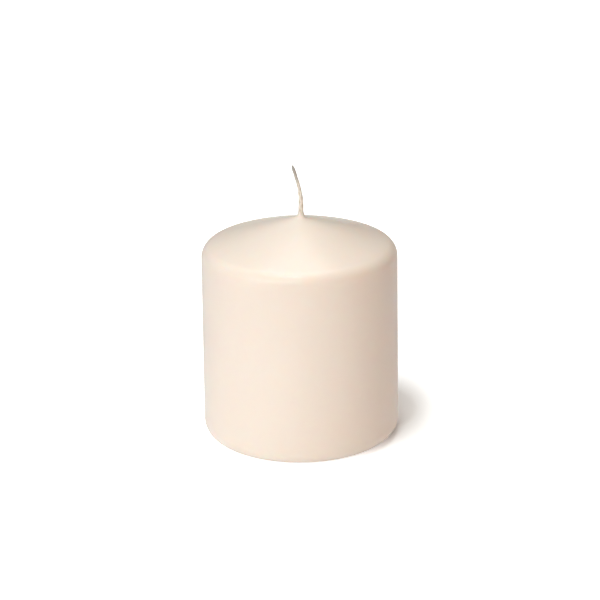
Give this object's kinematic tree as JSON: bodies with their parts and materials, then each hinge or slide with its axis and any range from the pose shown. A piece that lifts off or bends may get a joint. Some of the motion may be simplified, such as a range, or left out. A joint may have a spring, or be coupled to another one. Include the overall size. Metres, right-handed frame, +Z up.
{
  "type": "flameless led candle",
  "caption": "Short round wax pillar with a domed top and a curled cotton wick, lit from inside by an LED on a battery base with a slide switch and a hinged battery door.",
  "frame": {"origin": "centre of the candle's foot, on the surface that it stands on", "axes": "+Z up along the pillar's axis; -Y is the front; the wick's tip curls towards -X; the switch is behind the battery door, towards +Y"},
  "size_m": [0.07, 0.07, 0.1],
  "materials": {
    "wax": "smooth satin ivory wax, slightly translucent",
    "wick_cotton": "braided waxed cotton, greyer at the tip",
    "base_plastic": "fine-textured ivory moulded plastic",
    "inner_plastic": "white moulded plastic",
    "led_epoxy": "clear warm-tinted epoxy",
    "tinned_steel": "bright tinned wire",
    "sleeve_rubber": "shrunk sleeve, satin",
    "frosted_plastic": "frosted translucent plastic",
    "board_laminate": "green solder mask",
    "chip_plastic": "black moulded plastic",
    "can_metal": "bright drawn can",
    "resistor_ceramic": "dark glazed body with tinned ends",
    "capacitor_sleeve": "shrunk plastic sleeve",
    "switch_can": "stamped plated steel",
    "knob_plastic": "black moulded plastic",
    "battery_jacket": "printed film jacket with a plain coloured band",
    "nickel_steel": "nickel-plated spring steel",
    "red_insulation": "smooth PVC insulation",
    "black_insulation": "smooth PVC insulation",
    "screw_steel": "zinc-plated steel",
    "hot_melt_glue": "cloudy hot-melt glue"
  },
  "bodies": {
    "candle": {"base_housing": "base_plastic", "battery_1": "battery_jacket", "battery_2": "battery_jacket", "battery_lead_black": "black_insulation", "battery_lead_red": "red_insulation", "board_screws": "screw_steel", "capacitor": "capacitor_sleeve", "chip_resistors": "resistor_ceramic", "circuit_board": "board_laminate", "controller_chip": "chip_plastic", "cover_screws": "screw_steel", "diffuser_cap": "frosted_plastic", "glue_beads": "hot_melt_glue", "housing_cover": "inner_plastic", "lead_sleeves": "sleeve_rubber", "led": "led_epoxy", "led_lead_black": "black_insulation", "led_lead_red": "red_insulation", "led_legs": "tinned_steel", "led_tower": "inner_plastic", "link_contact": "nickel_steel", "link_spring": "nickel_steel", "negative_contact": "nickel_steel", "negative_spring": "nickel_steel", "positive_contact": "nickel_steel", "switch_body": "switch_can", "timer_crystal": "can_metal", "tower_screws": "screw_steel", "wax_shell": "wax", "wick": "wick_cotton"},
    "switch": {"switch_stem": "knob_plastic", "switch_knob": "knob_plastic"},
    "battery_door": {"battery_door": "base_plastic"},
    "door_latch": {"door_latch": "base_plastic"}
  },
  "joints": [
    {"name": "switch_slide", "type": "slide", "parent": "candle", "child": "switch", "axis": [1, 0, 0], "range_m": [0, 0.004]},
    {"name": "door_hinge", "type": "hinge", "parent": "candle", "child": "battery_door", "pos_m": [0, -0.013, 0.0018], "axis": [-1, 0, 0], "range_deg": [0, 95]},
    {"name": "latch_flex", "type": "hinge", "parent": "battery_door", "child": "door_latch", "pos_m": [0, 0.0123, 0.0042], "axis": [-1, 0, 0], "range_deg": [0, 8], "stiffness_Nm_per_rad": 0.07}
  ]
}
